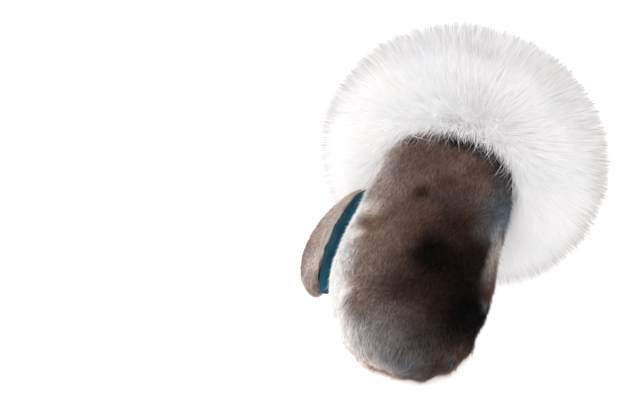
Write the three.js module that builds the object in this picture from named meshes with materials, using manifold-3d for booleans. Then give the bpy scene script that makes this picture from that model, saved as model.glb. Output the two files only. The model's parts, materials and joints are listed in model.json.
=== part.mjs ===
// A left-hand fur mitten that lies palm down: a short-furred hand gathered round the finger end, a suede
// palm, a thumb of fur and suede beside it, and a deep ruff of long white fur round an open cuff.
// Millimetres. The finger end points to -Y, the thumb lies on the -X side, and z = 0 is the table.

import * as THREE from 'three';
import { mergeVertices } from 'three/addons/utils/BufferGeometryUtils.js';
import Module from 'manifold-3d';

const wasm = await Module();
wasm.setup();

const lerp = THREE.MathUtils.lerp;
const clamp = THREE.MathUtils.clamp;
const smoothstep = THREE.MathUtils.smoothstep;
const degrees = THREE.MathUtils.degToRad;

// Driving dimensions of the hand
const HAND_LENGTH = 195; // cuff seam to finger end, over the fur
const HAND_WIDTH = 128; // widest, over the fur
const HAND_DEPTH = 62; // back to palm, over the fur
const WRIST_HEIGHT = 104; // middle of the wrist above the table
const FINGER_HEIGHT = 23; // middle of the finger end above the table
const HAND_ROLL = degrees(5); // the thumb under it lifts that side
const SECTION_POWER = 2.25; // 2 is an ellipse, more is squarer

// Walls and seams
const FUR_WALL = 8; // hide and short pile
const SUEDE_WALL = 2;
const HIDE_WALL = 2.5; // the cuff's band
const SEAM_GAP = 0.3;

// Palm panel, measured from the cuff seam
const PALM_START = 16;
const PALM_LENGTH = 122;
const PALM_WIDTH = 80;
const PALM_SHIFT = -5; // towards the thumb
const PALM_CORNER = 0.55; // roundness of its corners at the wrist, a share of half its width

// Thumb, measured from the cuff seam
const THUMB_START = 10;
const THUMB_LENGTH = 112;
const THUMB_WIDTH = 38; // over the fur
const THUMB_DEPTH = 42;
const SUEDE_FACING = degrees(14); // the suede side's normal above the horizontal
const SUEDE_FROM = 0.3; // the dividing plane meets the thumb's middle line here, a share of its length

// Cuff and ruff
const CUFF_LENGTH = 105;
const CUFF_FLARE = 7; // how much wider the mouth is than the wrist, on each side
const CUFF_DROP = 6; // how much lower the mouth lies than the wrist
const CUFF_BEND = 12; // how far the mouth lies to the thumb's side of the wrist
const RUFF_PILE = 68; // length of the long fur
const RUFF_SAG = 7; // how far its tips hang down under their own weight
const RUFF_BODY = 0.8; // share of the pile that stands as one mass under the lock tips
const RUFF_OVERHANG = 36; // how far the fur fans out past both ends of the band
const RUFF_POWER = 2.2; // the fan's outline along the cuff: 2 is an ellipse, more is squarer
const RUFF_EDGE = 0.1; // share of the half turn that the fan leaves free at both ends
const LOCK_ROWS = 6;
const LOCKS_ROUND = 18;
const LOCK_WIDTH = 42;
const LOCK_SIDES = 4;
const LOCK_SINK = 0.2; // share of the pile by which a lock starts under the mass's surface

// How finely the forms are divided
const HAND_STEPS = 24;
const HAND_SIDES = 36;
const LINING_STEPS = 16;
const LINING_SIDES = 26;
const THUMB_STEPS = 12;
const THUMB_SIDES = 22;
const CUFF_STEPS = 4;
const CUFF_SIDES = 32;
const RUFF_SIDES = 28;
const PALM_CURVE = 12;
const MERGE_DISTANCE = 1e-4;
const CUT_PAST = 1; // how far a cutter runs past the face that it opens

// The hand's sections: along is a share of its length, width and top and bottom are shares of its width
// and depth, fall of the way down from wrist to finger end, drift of its width to the little finger's side
const LANDING = 0.78; // where the hand has come down to the table, a share of its length
const HAND_ROWS = [
  { along: 0.0, width: 0.84, top: 0.7, bottom: 0.66, fall: 0.0, drift: 0.02 },
  { along: 0.15, width: 0.87, top: 0.67, bottom: 0.6, fall: 0.17, drift: 0.02 },
  { along: 0.35, width: 0.94, top: 0.61, bottom: 0.52, fall: 0.46, drift: 0.0 },
  { along: 0.55, width: 1.0, top: 0.56, bottom: 0.47, fall: 0.75, drift: 0.0 },
  { along: LANDING, width: 0.95, top: 0.53, bottom: 0.44, fall: 0.98, drift: 0.05 },
  { along: 1.0, width: 0.88, top: 0.5, bottom: 0.42, fall: 1.0, drift: 0.11 },
];
const OUTLINE_END = { from: 0.54, power: 2.2 }; // how the finger end closes, seen from above
const DEPTH_END = { from: 0.66, power: 2.6 }; // and seen from the side

// Soft dents in the back: across is a share of the half width, depth of the fur wall, spread of the width
const BACK_DENTS = [
  { along: 0.3, across: -0.05, depth: 0.3, spread: 0.11 },
  { along: 0.56, across: 0.14, depth: 0.5, spread: 0.14 },
  { along: 0.78, across: 0.5, depth: 0.55, spread: 0.17 },
];

// Gathers round the finger end: turn is the angle in degrees from straight ahead, positive to the little
// finger's side, depth is a share of the fur wall, and spread is half the groove's angle in degrees
const GATHERS = [
  { turn: -74, depth: 0.4, spread: 6 },
  { turn: -52, depth: 0.45, spread: 6 },
  { turn: -30, depth: 0.45, spread: 6 },
  { turn: -9, depth: 0.4, spread: 6 },
  { turn: 12, depth: 0.45, spread: 6 },
  { turn: 34, depth: 0.6, spread: 7 },
  { turn: 56, depth: 0.65, spread: 7 },
  { turn: 80, depth: 0.5, spread: 7 },
];
const GATHER_CENTRE = 0.6; // share of the hand's length that the gathers point away from
const GATHER_REACH = { from: 0.3, full: 0.75 }; // shares of the way from there to the outline
const GATHER_FADE = { from: 0.75, gone: -0.1 }; // shares of the section's height: none above the first

// The thumb's sections: along is a share of its length, out of the hand's width, height of the way from
// the table up to the wrist's middle, width and depth of its own
const THUMB_ROWS = [
  { along: 0.0, out: -0.33, height: 0.82, width: 0.76, depth: 0.72 },
  { along: 0.25, out: -0.48, height: 0.7, width: 0.94, depth: 0.92 },
  { along: 0.5, out: -0.57, height: 0.56, width: 1.0, depth: 1.0 },
  { along: 0.75, out: -0.6, height: 0.44, width: 0.96, depth: 0.94 },
  { along: 1.0, out: -0.56, height: 0.35, width: 0.86, depth: 0.84 },
];
const THUMB_END = { from: 0.62, power: 2.2 };

// A table's column at a place along it, on a smooth curve through the rows
function read(rows, along, column) {
  const at = clamp(along, rows[0].along, rows.at(-1).along);
  const i = rows.findIndex((row, k) => k > 0 && at <= row.along);
  const span = (a, b) => rows[b].along - rows[a].along;
  const slope = (k) => {
    const before = Math.max(k - 1, 0);
    const after = Math.min(k + 1, rows.length - 1);
    return (rows[after][column] - rows[before][column]) / span(before, after);
  };
  const width = span(i - 1, i);
  const t = (at - rows[i - 1].along) / width;
  const [a, b] = [rows[i - 1][column], rows[i][column]];
  const [da, db] = [slope(i - 1) * width, slope(i) * width];
  return (2 * t ** 3 - 3 * t ** 2 + 1) * a + (t ** 3 - 2 * t ** 2 + t) * da
    + (3 * t ** 2 - 2 * t ** 3) * b + (t ** 3 - t ** 2) * db;
}

// 1 until the end begins, then down to 0 as a quarter of a superellipse
function closing(end, along) {
  const t = clamp((along - end.from) / (1 - end.from), 0, 1);
  return (1 - t ** end.power) ** (1 / end.power);
}

// A cosine or sine bent from the circle's to the superellipse's
function bent(value, power) {
  return Math.sign(value) * Math.abs(value) ** (2 / power);
}

// A geometry as a solid. Its doubled vertices are merged and its faces without area left out.
function solid(geometry) {
  geometry.deleteAttribute('normal');
  geometry.deleteAttribute('uv');
  const merged = mergeVertices(geometry, MERGE_DISTANCE);
  const faces = [];
  for (let i = 0; i < merged.index.count; i += 3) {
    const [a, b, c] = [0, 1, 2].map((k) => merged.index.getX(i + k));
    if (a !== b && b !== c && c !== a) faces.push([a, b, c]);
  }
  const build = (list) => new wasm.Manifold(new wasm.Mesh({
    numProp: 3,
    vertProperties: merged.attributes.position.array,
    triVerts: new Uint32Array(list.flat()),
  }));
  const made = build(faces);
  return made.volume() > 0 ? made : build(faces.map(([a, b, c]) => [a, c, b]));
}

// The largest body of a solid: a cut may leave loose slivers
function largest(shape) {
  return shape.decompose().reduce((best, body) => (body.volume() > best.volume() ? body : best));
}

// A solid as a named mesh
function meshOf(name, shape, material) {
  const { vertProperties, triVerts } = shape.getMesh();
  const geometry = new THREE.BufferGeometry();
  geometry.setAttribute('position', new THREE.BufferAttribute(new Float32Array(vertProperties), 3));
  geometry.setIndex(new THREE.BufferAttribute(new Uint32Array(triVerts), 1));
  geometry.computeVertexNormals();
  const mesh = new THREE.Mesh(geometry, material);
  mesh.name = name;
  return mesh;
}

// A lathed profile whose vertices a function then puts in place. It is given each vertex's height and
// radius on the profile and its angle round it.
function lathed(profile, sides, place) {
  const geometry = new THREE.LatheGeometry(profile, sides);
  const position = geometry.attributes.position;
  const put = new THREE.Vector3();
  for (let i = 0; i < position.count; i += 1) {
    const [x, y, z] = [position.getX(i), position.getY(i), position.getZ(i)];
    place(put, y, Math.hypot(x, z), Math.atan2(z, x));
    position.setXYZ(i, put.x, put.y, put.z);
  }
  return geometry;
}

// A closed bag or tube through stations along it
function bag(stations, sides, place) {
  const profile = [
    new THREE.Vector2(0, stations[0]),
    ...stations.map((along) => new THREE.Vector2(1, along)),
    new THREE.Vector2(0, stations.at(-1)),
  ];
  return solid(lathed(profile, sides, place));
}

// Stations from one place to the end at 1, closer together towards the end
function stationsFrom(first, count) {
  return Array.from({ length: count + 1 }, (_, i) => {
    return lerp(first, 1, Math.sin((i / count) * (Math.PI / 2)));
  });
}

// How deep the dents push the back in at a point of a section
function dentDepth(along, across, sine) {
  if (sine <= 0) return 0;
  return BACK_DENTS.reduce((sum, dent) => {
    const ahead = ((along - dent.along) * HAND_LENGTH) / (dent.spread * HAND_WIDTH);
    const aside = (across - dent.across) / (2 * dent.spread);
    return sum + dent.depth * FUR_WALL * Math.exp(-(ahead ** 2 + aside ** 2));
  }, 0);
}

// How deep the gathers cut into the fur at a point of the outline seen from above
function gatherDepth(x, y, rise) {
  const ahead = -y - GATHER_CENTRE * HAND_LENGTH;
  const turn = THREE.MathUtils.radToDeg(Math.atan2(x, ahead));
  const reach = Math.hypot(x / (HAND_WIDTH / 2), ahead / (HAND_LENGTH * (1 - GATHER_CENTRE)));
  const near = smoothstep(reach, GATHER_REACH.from, GATHER_REACH.full);
  const low = 1 - smoothstep(rise, GATHER_FADE.gone, GATHER_FADE.from);
  const cut = GATHERS.reduce((sum, fold) => {
    return sum + fold.depth * Math.exp(-(((turn - fold.turn) / fold.spread) ** 2));
  }, 0);
  return cut * FUR_WALL * near * low;
}

// The height of the hand's middle line
function handHeight(along) {
  return lerp(WRIST_HEIGHT, FINGER_HEIGHT, read(HAND_ROWS, along, 'fall'));
}

// The hand's form, drawn in by an inset and flat where it lies. Only the fur's own surface has gathers.
function handForm(inset, steps, sides, first = 0) {
  return bag(stationsFrom(first, steps), sides, (put, along, share, angle) => {
    const part = (column) => read(HAND_ROWS, along, column);
    const [cosine, sine] = [Math.cos(angle), Math.sin(angle)].map((value) => bent(value, SECTION_POWER));
    const wide = ((part('width') * HAND_WIDTH) / 2 - inset) * closing(OUTLINE_END, along);
    const thick = (part(sine > 0 ? 'top' : 'bottom') * HAND_DEPTH - inset) * closing(DEPTH_END, along);
    let x = wide * cosine * share;
    let z = thick * sine * share;
    const y = -along * (HAND_LENGTH - inset);
    const gathers = inset === 0 ? gatherDepth(x, y, sine) : 0;
    const deep = dentDepth(along, cosine, sine) + gathers;
    const reach = Math.hypot(x, z);
    if (reach > deep) {
      x *= 1 - deep / reach;
      z *= 1 - deep / reach;
    }
    z += handHeight(along) - x * Math.tan(HAND_ROLL);
    put.set(x + part('drift') * HAND_WIDTH, y, Math.max(z, inset));
  });
}

// The thumb's form, drawn in by an inset
function thumbForm(inset) {
  return bag(stationsFrom(0, THUMB_STEPS), THUMB_SIDES, (put, along, share, angle) => {
    const part = (column) => read(THUMB_ROWS, along, column);
    const [cosine, sine] = [Math.cos(angle), Math.sin(angle)].map((value) => bent(value, SECTION_POWER));
    const close = closing(THUMB_END, along) * share;
    const x = ((part('width') * THUMB_WIDTH) / 2 - inset) * cosine * close;
    const z = ((part('depth') * THUMB_DEPTH) / 2 - inset) * sine * close;
    const y = -THUMB_START - along * (THUMB_LENGTH - inset);
    put.set(x + part('out') * HAND_WIDTH, y, Math.max(z + part('height') * WRIST_HEIGHT, inset));
  });
}

// All of the space on the suede side of the thumb, moved towards the suede by a gap
function suedeSide(gap) {
  const size = 2 * HAND_LENGTH;
  const middle = (along) => new THREE.Vector3(
    read(THUMB_ROWS, along, 'out') * HAND_WIDTH,
    -THUMB_START - along * THUMB_LENGTH,
    read(THUMB_ROWS, along, 'height') * WRIST_HEIGHT,
  );
  const near = middle(SUEDE_FROM);
  const forward = new THREE.Vector3().subVectors(middle(1), near).normalize();
  const normal = new THREE.Vector3(Math.cos(SUEDE_FACING), 0, Math.sin(SUEDE_FACING));
  normal.addScaledVector(forward, -normal.dot(forward)).normalize();
  const across = new THREE.Vector3().crossVectors(normal, forward);
  const turn = new THREE.Matrix4().makeBasis(normal, forward, across);
  turn.setPosition(near.clone().addScaledVector(normal, size / 2 + gap));
  return solid(new THREE.BoxGeometry(size, size, size).applyMatrix4(turn));
}

// The palm panel's outline, drawn in by a gap, cut straight through the palm side of the hand
function palmSide(gap) {
  const half = PALM_WIDTH / 2 - gap;
  const slope = Math.atan2(WRIST_HEIGHT - FINGER_HEIGHT, HAND_LENGTH * LANDING);
  const [low, high] = [-(PALM_LENGTH - gap) / Math.cos(slope), -gap / Math.cos(slope)];
  const corner = half * PALM_CORNER;
  const outline = new THREE.Shape();
  outline.moveTo(-half, high - corner);
  outline.quadraticCurveTo(-half, high, -half + corner, high);
  outline.lineTo(half - corner, high);
  outline.quadraticCurveTo(half, high, half, high - corner);
  outline.lineTo(half, low + half);
  outline.absarc(0, low + half, half, 0, -Math.PI, true);
  outline.closePath();
  const depth = 2 * HAND_DEPTH;
  const settings = { depth, bevelEnabled: false, curveSegments: PALM_CURVE };
  const plate = new THREE.ExtrudeGeometry(outline, settings);
  plate.translate(0, 0, -depth);
  plate.rotateX(slope);
  plate.translate(PALM_SHIFT, -PALM_START, handHeight(PALM_START / HAND_LENGTH));
  return solid(plate);
}

// The middle of the sleeve at y, from the hand's base to the cuff's mouth and past both
function sleeveMiddle(y) {
  const back = Math.max(y / CUFF_LENGTH, 0);
  const ahead = Math.max(-y / HAND_LENGTH, 0);
  const x = HAND_ROWS[0].drift * HAND_WIDTH - CUFF_BEND * back;
  return new THREE.Vector3(x, y, handHeight(ahead) - CUFF_DROP * back);
}

// A point on the sleeve's section at y, pushed out by off. The section grows round as the fur fans out.
function sleevePoint(put, y, off, angle) {
  const back = Math.max(y / CUFF_LENGTH, 0);
  const wrist = HAND_ROWS[0];
  const grown = CUFF_FLARE * back - FUR_WALL + HIDE_WALL + off;
  const power = lerp(SECTION_POWER, 2, clamp(off / RUFF_PILE, 0, 1));
  const [cosine, sine] = [Math.cos(angle), Math.sin(angle)].map((value) => bent(value, power));
  const x = ((wrist.width * HAND_WIDTH) / 2 + grown) * cosine;
  const z = ((sine > 0 ? wrist.top : wrist.bottom) * HAND_DEPTH + grown) * sine;
  const roll = x * Math.tan(HAND_ROLL) * (1 - Math.min(back, 1));
  put.copy(sleeveMiddle(y));
  put.x += x;
  put.z += z - roll - (RUFF_SAG * Math.max(off, 0)) / RUFF_PILE;
}

// A closed tube along the cuff between two places, grown by off
function sleeve(from, to, off) {
  const places = Array.from({ length: CUFF_STEPS + 1 }, (_, i) => (i * CUFF_LENGTH) / CUFF_STEPS);
  const stations = [from, ...places.filter((y) => y > from && y < to), to];
  return bag(stations, CUFF_SIDES, (put, y, share, angle) => {
    sleevePoint(put, y, off, angle);
    put.lerp(sleeveMiddle(y), 1 - share);
  });
}

// The cuff's band: an open tube of hide, as two sleeves one inside the other, a seam's gap from the hand
function cuffBand() {
  return sleeve(SEAM_GAP, CUFF_LENGTH, 0).subtract(sleeve(-CUT_PAST, CUFF_LENGTH + CUT_PAST, -HIDE_WALL));
}

// The fan of the long fur from the cuff's front end over the top to its back end: turn runs from 0 to 1,
// share is 1 at the tips
function ruffPlace(turn, share) {
  const angle = turn * Math.PI;
  const middle = CUFF_LENGTH / 2;
  return {
    y: middle - bent(Math.cos(angle), RUFF_POWER) * (middle + RUFF_OVERHANG) * share,
    off: bent(Math.sin(angle), RUFF_POWER) * RUFF_PILE * share,
  };
}

// One lock: a cone rooted in the ruff's mass whose tip reaches the fur's full length
function ruffLock(turn, angle) {
  const [tip, foot] = [1, RUFF_BODY - LOCK_SINK].map((share) => {
    const { y, off } = ruffPlace(turn, share);
    const put = new THREE.Vector3();
    sleevePoint(put, y, off, angle);
    return put;
  });
  const way = new THREE.Vector3().subVectors(tip, foot);
  const cone = new THREE.ConeGeometry(LOCK_WIDTH / 2, way.length(), LOCK_SIDES);
  const turned = new THREE.Quaternion().setFromUnitVectors(new THREE.Vector3(0, 1, 0), way.normalize());
  const centre = tip.add(foot).multiplyScalar(0.5);
  return solid(cone.applyQuaternion(turned).translate(centre.x, centre.y, centre.z));
}

// The ruff: one mass of fur on the band, with rows of lock tips, cut flat where it rests
function ruff(keepOut) {
  const radius = 2 * RUFF_PILE; // any radius clear of the profile's depth
  const turns = Array.from({ length: LOCK_ROWS }, (_, i) => {
    return lerp(RUFF_EDGE, 1 - RUFF_EDGE, i / (LOCK_ROWS - 1));
  });
  const places = turns.map((turn) => ruffPlace(turn, RUFF_BODY));
  places.push({ y: CUFF_LENGTH, off: SEAM_GAP }, { y: 0, off: SEAM_GAP }, places[0]);
  const outline = places.map(({ y, off }) => new THREE.Vector2(radius + off, y));
  const mass = solid(lathed(outline, RUFF_SIDES, (put, y, from, angle) => {
    sleevePoint(put, y, from - radius, angle);
  }));
  const locks = turns.flatMap((turn, i) => Array.from({ length: LOCKS_ROUND }, (_, j) => {
    return ruffLock(turn, ((j + (i % 2) / 2) / LOCKS_ROUND) * 2 * Math.PI);
  }));
  return largest(wasm.Manifold.union([mass, ...locks]).subtract(keepOut));
}

// Everything under the table's top
function underTable() {
  const size = 4 * HAND_LENGTH;
  return solid(new THREE.BoxGeometry(size, size, size).translate(0, 0, -size / 2));
}

const furOutside = handForm(0, HAND_STEPS, HAND_SIDES);
const furInside = handForm(FUR_WALL, LINING_STEPS, LINING_SIDES, -CUT_PAST / HAND_LENGTH);
const suedeOutside = handForm(FUR_WALL - SUEDE_WALL, LINING_STEPS, LINING_SIDES);
const thumbOutside = thumbForm(0);
const thumbHollow = thumbForm(FUR_WALL);
const thumbSuedeOutside = thumbForm(FUR_WALL - SUEDE_WALL);

// What the hand leaves open for the thumb: all of its fur side, its thinner suede side and its hollow
const thumbHole = thumbForm(-SEAM_GAP).subtract(suedeSide(0))
  .add(thumbForm(FUR_WALL - SUEDE_WALL - SEAM_GAP).intersect(suedeSide(0)))
  .add(thumbHollow);

const handFur = furOutside.subtract(furInside).subtract(palmSide(0)).subtract(thumbHole);
const palm = suedeOutside.subtract(furInside).intersect(palmSide(SEAM_GAP)).subtract(thumbHole);
const thumbFur = thumbOutside.subtract(thumbHollow).subtract(suedeSide(-SEAM_GAP / 2)).subtract(furInside);
const thumbSuede = thumbSuedeOutside.subtract(thumbHollow).intersect(suedeSide(SEAM_GAP / 2))
  .subtract(furInside);

// The long fur stays out of the hand, the thumb, the band with its hollow, and the table
const ruffKeepOut = wasm.Manifold.union([
  handForm(-SEAM_GAP, HAND_STEPS, HAND_SIDES),
  thumbForm(-SEAM_GAP),
  sleeve(-CUT_PAST, CUFF_LENGTH + CUT_PAST, SEAM_GAP),
  underTable(),
]);

const shortFur = new THREE.MeshStandardMaterial({ color: 0x57463d, roughness: 0.9, metalness: 0 });
const suede = new THREE.MeshStandardMaterial({ color: 0x0d3f4c, roughness: 0.95, metalness: 0 });
const hide = new THREE.MeshStandardMaterial({ color: 0xcfc3b4, roughness: 0.9, metalness: 0 });
const longFur = new THREE.MeshStandardMaterial({ color: 0xf2f0ee, roughness: 0.85, metalness: 0 });

const mitten = new THREE.Group();
mitten.add(meshOf('hand_fur', largest(handFur), shortFur));
mitten.add(meshOf('palm_suede', largest(palm), suede));
mitten.add(meshOf('thumb_fur', largest(thumbFur), shortFur));
mitten.add(meshOf('thumb_suede', largest(thumbSuede), suede));
mitten.add(meshOf('cuff_band', cuffBand(), hide));
mitten.add(meshOf('cuff_ruff', ruff(ruffKeepOut), longFur));

// The origin lies on the table under the middle of the whole
const middle = new THREE.Box3().setFromObject(mitten).getCenter(new THREE.Vector3());
for (const mesh of mitten.children) mesh.position.set(-middle.x, -middle.y, 0);

export default mitten;
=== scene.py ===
"""A left-hand fur mitten that lies palm down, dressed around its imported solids.

Short brown fur covers the hand and the thumb's outer side, teal suede the palm and the thumb's inner side,
and long white fur fans out round the open cuff. Metres, +Z up, the finger end towards -Y.
"""

import json
import logging
import math
from dataclasses import dataclass, field, fields
from enum import Enum
from typing import Callable, Optional, Sequence, Union

import bmesh
import bpy
import numpy as np
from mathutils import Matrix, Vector
from mathutils.bvhtree import BVHTree

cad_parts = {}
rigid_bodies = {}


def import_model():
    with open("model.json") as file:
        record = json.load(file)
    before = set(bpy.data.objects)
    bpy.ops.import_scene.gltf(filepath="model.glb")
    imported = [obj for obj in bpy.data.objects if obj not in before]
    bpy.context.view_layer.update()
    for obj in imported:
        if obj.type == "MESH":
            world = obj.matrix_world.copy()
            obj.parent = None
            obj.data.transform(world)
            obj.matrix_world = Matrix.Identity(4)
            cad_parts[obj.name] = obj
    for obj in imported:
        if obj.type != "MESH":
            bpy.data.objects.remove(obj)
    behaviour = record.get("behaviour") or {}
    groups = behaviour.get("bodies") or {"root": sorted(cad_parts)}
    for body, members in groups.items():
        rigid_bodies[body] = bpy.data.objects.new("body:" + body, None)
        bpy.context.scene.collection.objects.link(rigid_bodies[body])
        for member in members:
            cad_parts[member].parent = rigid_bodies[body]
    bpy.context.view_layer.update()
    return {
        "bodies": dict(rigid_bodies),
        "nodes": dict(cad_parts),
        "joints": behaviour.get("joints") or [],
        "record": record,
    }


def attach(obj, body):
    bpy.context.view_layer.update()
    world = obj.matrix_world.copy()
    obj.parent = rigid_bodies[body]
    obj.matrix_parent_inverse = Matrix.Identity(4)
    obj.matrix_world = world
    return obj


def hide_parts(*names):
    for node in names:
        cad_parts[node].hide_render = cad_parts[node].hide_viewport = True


LOG = logging.getLogger("mitten")
MM = 0.001
IMAGE_WIDTH, IMAGE_HEIGHT = 630, 420
SENSOR_WIDTH = 36.0
SEED = 20
FLOOR_CLEARANCE = 0.3 * MM
MERGE_DISTANCE = 0.01 * MM
LEAST_LENGTH = 1e-9

Number = Union[float, "Wire"]
Colour = tuple[float, float, float, float]
Range = tuple[float, float]
# A noise is its waves to the metre and its detail, and a wander is its strength and its wavelength.
Noise = tuple[float, float]
Wander = tuple[float, float]
Adjust = Callable[[np.ndarray], np.ndarray]


class Slot(Enum):
    """The record's material slots."""

    SHORT_FUR = "short_fur"
    SUEDE = "suede"
    HIDE = "hide"
    LONG_FUR = "long_fur"


def tint(red: int, green: int, blue: int) -> Colour:
    """A screen colour as linear light, by the usual curve of screens.

    Args:
        red, green, blue: the colour from 0 to 255.

    Returns:
        The linear colour with an alpha of 1.
    """
    shares = [value / 255 for value in (red, green, blue)]
    linear = [s / 12.92 if s <= 0.04045 else ((s + 0.055) / 1.055) ** 2.4 for s in shares]
    return (linear[0], linear[1], linear[2], 1.0)


def unit(vectors: np.ndarray) -> np.ndarray:
    """Vectors at length 1."""
    return vectors / np.maximum(np.linalg.norm(vectors, axis=-1, keepdims=True), LEAST_LENGTH)


def eased(values: np.ndarray, low: float, high: float) -> np.ndarray:
    """0 at low and 1 at high on a smooth curve.

    Args:
        values: the numbers that are asked about.
        low, high: where the curve starts and ends. Low may be the larger one.

    Returns:
        Their shares, from 0 to 1.
    """
    share = np.clip((values - low) / (high - low), 0, 1)
    return share * share * (3 - 2 * share)


class Wire:
    """A value in a material's node tree, with the operators that its maths needs."""

    def __init__(self, sheet: "NodeSheet", socket: bpy.types.NodeSocket) -> None:
        """Wraps a node's output socket."""
        self.sheet = sheet
        self.socket = socket

    def _math(self, operation: str, first: Number, second: Number) -> "Wire":
        """A Math node on two values."""
        return self.sheet.node("ShaderNodeMath", {"operation": operation}, {0: first, 1: second})

    def __add__(self, other: Number) -> "Wire":
        """The sum."""
        return self._math("ADD", self, other)

    def __sub__(self, other: Number) -> "Wire":
        """The difference."""
        return self._math("SUBTRACT", self, other)

    def __rsub__(self, other: Number) -> "Wire":
        """The difference from a number."""
        return self._math("SUBTRACT", other, self)

    def __mul__(self, other: Number) -> "Wire":
        """The product."""
        return self._math("MULTIPLY", self, other)

    __radd__ = __add__
    __rmul__ = __mul__

    def between(self, low: float, high: float) -> "Wire":
        """0 at low and 1 at high on a smooth curve. Low may be the larger one."""
        settings = {"interpolation_type": "SMOOTHSTEP"}
        return self.sheet.node("ShaderNodeMapRange", settings, {0: self, 1: low, 2: high})


class NodeSheet:
    """A new material and the few ways in which its nodes are made."""

    # Where a Mix node has its share, its two colours and the mixed colour.
    MIX_INPUTS = (0, 6, 7)
    MIX_RESULT = 2
    NOISE_MIDDLE = (0.5, 0.5, 0.5)
    RAGGED_DETAIL = 3.0

    def __init__(self, name: str) -> None:
        """Starts a material with an empty node tree."""
        self.material = bpy.data.materials.new(name)
        self.material.use_nodes = True
        self.tree = self.material.node_tree
        self.tree.nodes.clear()
        self.place = self.node("ShaderNodeTexCoord", output="Object")

    def node(
        self,
        kind: str,
        settings: Optional[dict] = None,
        sockets: Optional[dict] = None,
        output: Union[int, str] = 0,
    ) -> Wire:
        """Adds a node.

        Args:
            kind: the node's type.
            settings: the node's own properties, which are set first.
            sockets: what goes into its inputs, as values or wires.
            output: which of its outputs is wanted.

        Returns:
            That output.
        """
        made = self.tree.nodes.new(kind)
        for name, value in (settings or {}).items():
            setattr(made, name, value)
        for key, value in (sockets or {}).items():
            if isinstance(value, Wire):
                self.tree.links.new(value.socket, made.inputs[key])
            else:
                made.inputs[key].default_value = value
        return Wire(self, made.outputs[output])

    def mix(self, share: Number, first: Union[Colour, Wire], second: Union[Colour, Wire]) -> Wire:
        """Two colours mixed, all of the second where share is 1."""
        sockets = dict(zip(self.MIX_INPUTS, (share, first, second)))
        return self.node("ShaderNodeMix", {"data_type": "RGBA"}, sockets, self.MIX_RESULT)

    def vector(self, operation: str, first: Wire, sockets: dict, output: Union[int, str] = 0) -> Wire:
        """A Vector Math node on a vector and what else the operation takes."""
        return self.node("ShaderNodeVectorMath", {"operation": operation}, {0: first, **sockets}, output)

    def scaled(self, vector: Wire, share: Number) -> Wire:
        """A colour or a vector times a number."""
        return self.vector("SCALE", vector, {"Scale": share})

    def noise(self, scale: float, detail: float) -> Wire:
        """Soft noise with so many waves to the metre."""
        sockets = {"Vector": self.place, "Scale": scale, "Detail": detail}
        return self.node("ShaderNodeTexNoise", {}, sockets)

    def shifted(self, scale: float, reach: float) -> Wire:
        """The place, moved about by noise, so that what follows it has ragged edges.

        Args:
            scale: the noise's waves to the metre.
            reach: how far it moves a place, in metres.

        Returns:
            The moved place.
        """
        sockets = {"Vector": self.place, "Scale": scale, "Detail": self.RAGGED_DETAIL}
        noise = self.node("ShaderNodeTexNoise", {}, sockets, "Color")
        centred = self.vector("SUBTRACT", noise, {1: self.NOISE_MIDDLE})
        return self.vector("ADD", self.place, {1: self.scaled(centred, 2 * reach)})

    def blob(self, place: Wire, centre: Vector, radii: Sequence[float], soft: float) -> Wire:
        """A soft-edged patch: 1 in its middle and 0 outside.

        Args:
            place: the place that is asked about.
            centre: the patch's middle.
            radii: its half sizes along X, Y and Z.
            soft: the share of the radius over which it fades.

        Returns:
            The patch's mask.
        """
        apart = self.vector("SUBTRACT", place, {1: centre[:]})
        shares = self.vector("DIVIDE", apart, {1: tuple(radii)})
        reach = self.vector("LENGTH", shares, {}, "Value")
        return reach.between(1 + soft / 2, 1 - soft / 2)

    def attribute(self, name: str) -> Wire:
        """A number that the mesh carries at each vertex."""
        return self.node("ShaderNodeAttribute", {"attribute_name": name}, {}, "Fac")

    def hair(self) -> tuple[Wire, Wire]:
        """A hair's own random number, and how far along the hair a place is."""
        both = self.node("ShaderNodeUVMap", {"uv_map": HairMesh.STRAND_MAP})
        return tuple(self.node("ShaderNodeSeparateXYZ", {}, {0: both}, axis) for axis in "XY")

    def finish(self, sockets: dict) -> bpy.types.Material:
        """Ends the material in one surface shader with these sockets."""
        shader = self.node("ShaderNodeBsdfPrincipled", {}, sockets)
        end = self.tree.nodes.new("ShaderNodeOutputMaterial")
        self.tree.links.new(shader.socket, end.inputs["Surface"])
        return self.material

    def bump(self, height: Wire, distance: float, strength: float) -> Wire:
        """A relief of a real depth in metres."""
        sockets = {"Height": height, "Distance": distance, "Strength": strength}
        return self.node("ShaderNodeBump", {}, sockets)


@dataclass(frozen=True)
class Mark:
    """A patch of another colour in the short fur.

    It is placed by a pixel of the 630 by 420 photograph, across and down. Its half width and half height are
    in pixels too. Strength is how much of the colour its middle takes, and soft is the share of its radius
    over which it fades.
    """

    across: float
    down: float
    wide: float
    tall: float
    colour: Colour
    strength: float
    soft: float = 1.5


@dataclass(frozen=True)
class Patch:
    """A mark where it lies on the fur."""

    centre: Vector
    radii: tuple[float, float, float]
    colour: Colour
    strength: float
    soft: float


INK = tint(9, 9, 10)
DARK_BROWN = tint(24, 17, 15)
UMBER = tint(57, 41, 34)
BROWN = tint(105, 83, 72)
RUST = tint(157, 118, 98)
TAUPE = tint(182, 160, 149)
GREY = tint(120, 120, 123)
ASH = tint(168, 164, 162)
# Grey-blue: painted sheen where the fur turns away at its edges.
PAINTED_SHEEN = tint(107, 116, 124)
# Dark navy: painted shadow where the ruff meets the hand.
PAINTED_SHADOW = tint(22, 28, 38)
# Silver: painted highlights on the right edge.
PAINTED_HIGHLIGHT = tint(203, 216, 229)
# Pale: the fur's own pale places, and painted light at the lower edge and the right rim.
PALE = tint(246, 233, 225)
# White: pale fur on the thumb's side with painted rim light from the left on it.
WHITE_FUR_AND_RIM_LIGHT = tint(250, 248, 248)
PURE_WHITE = tint(255, 255, 255)

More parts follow.
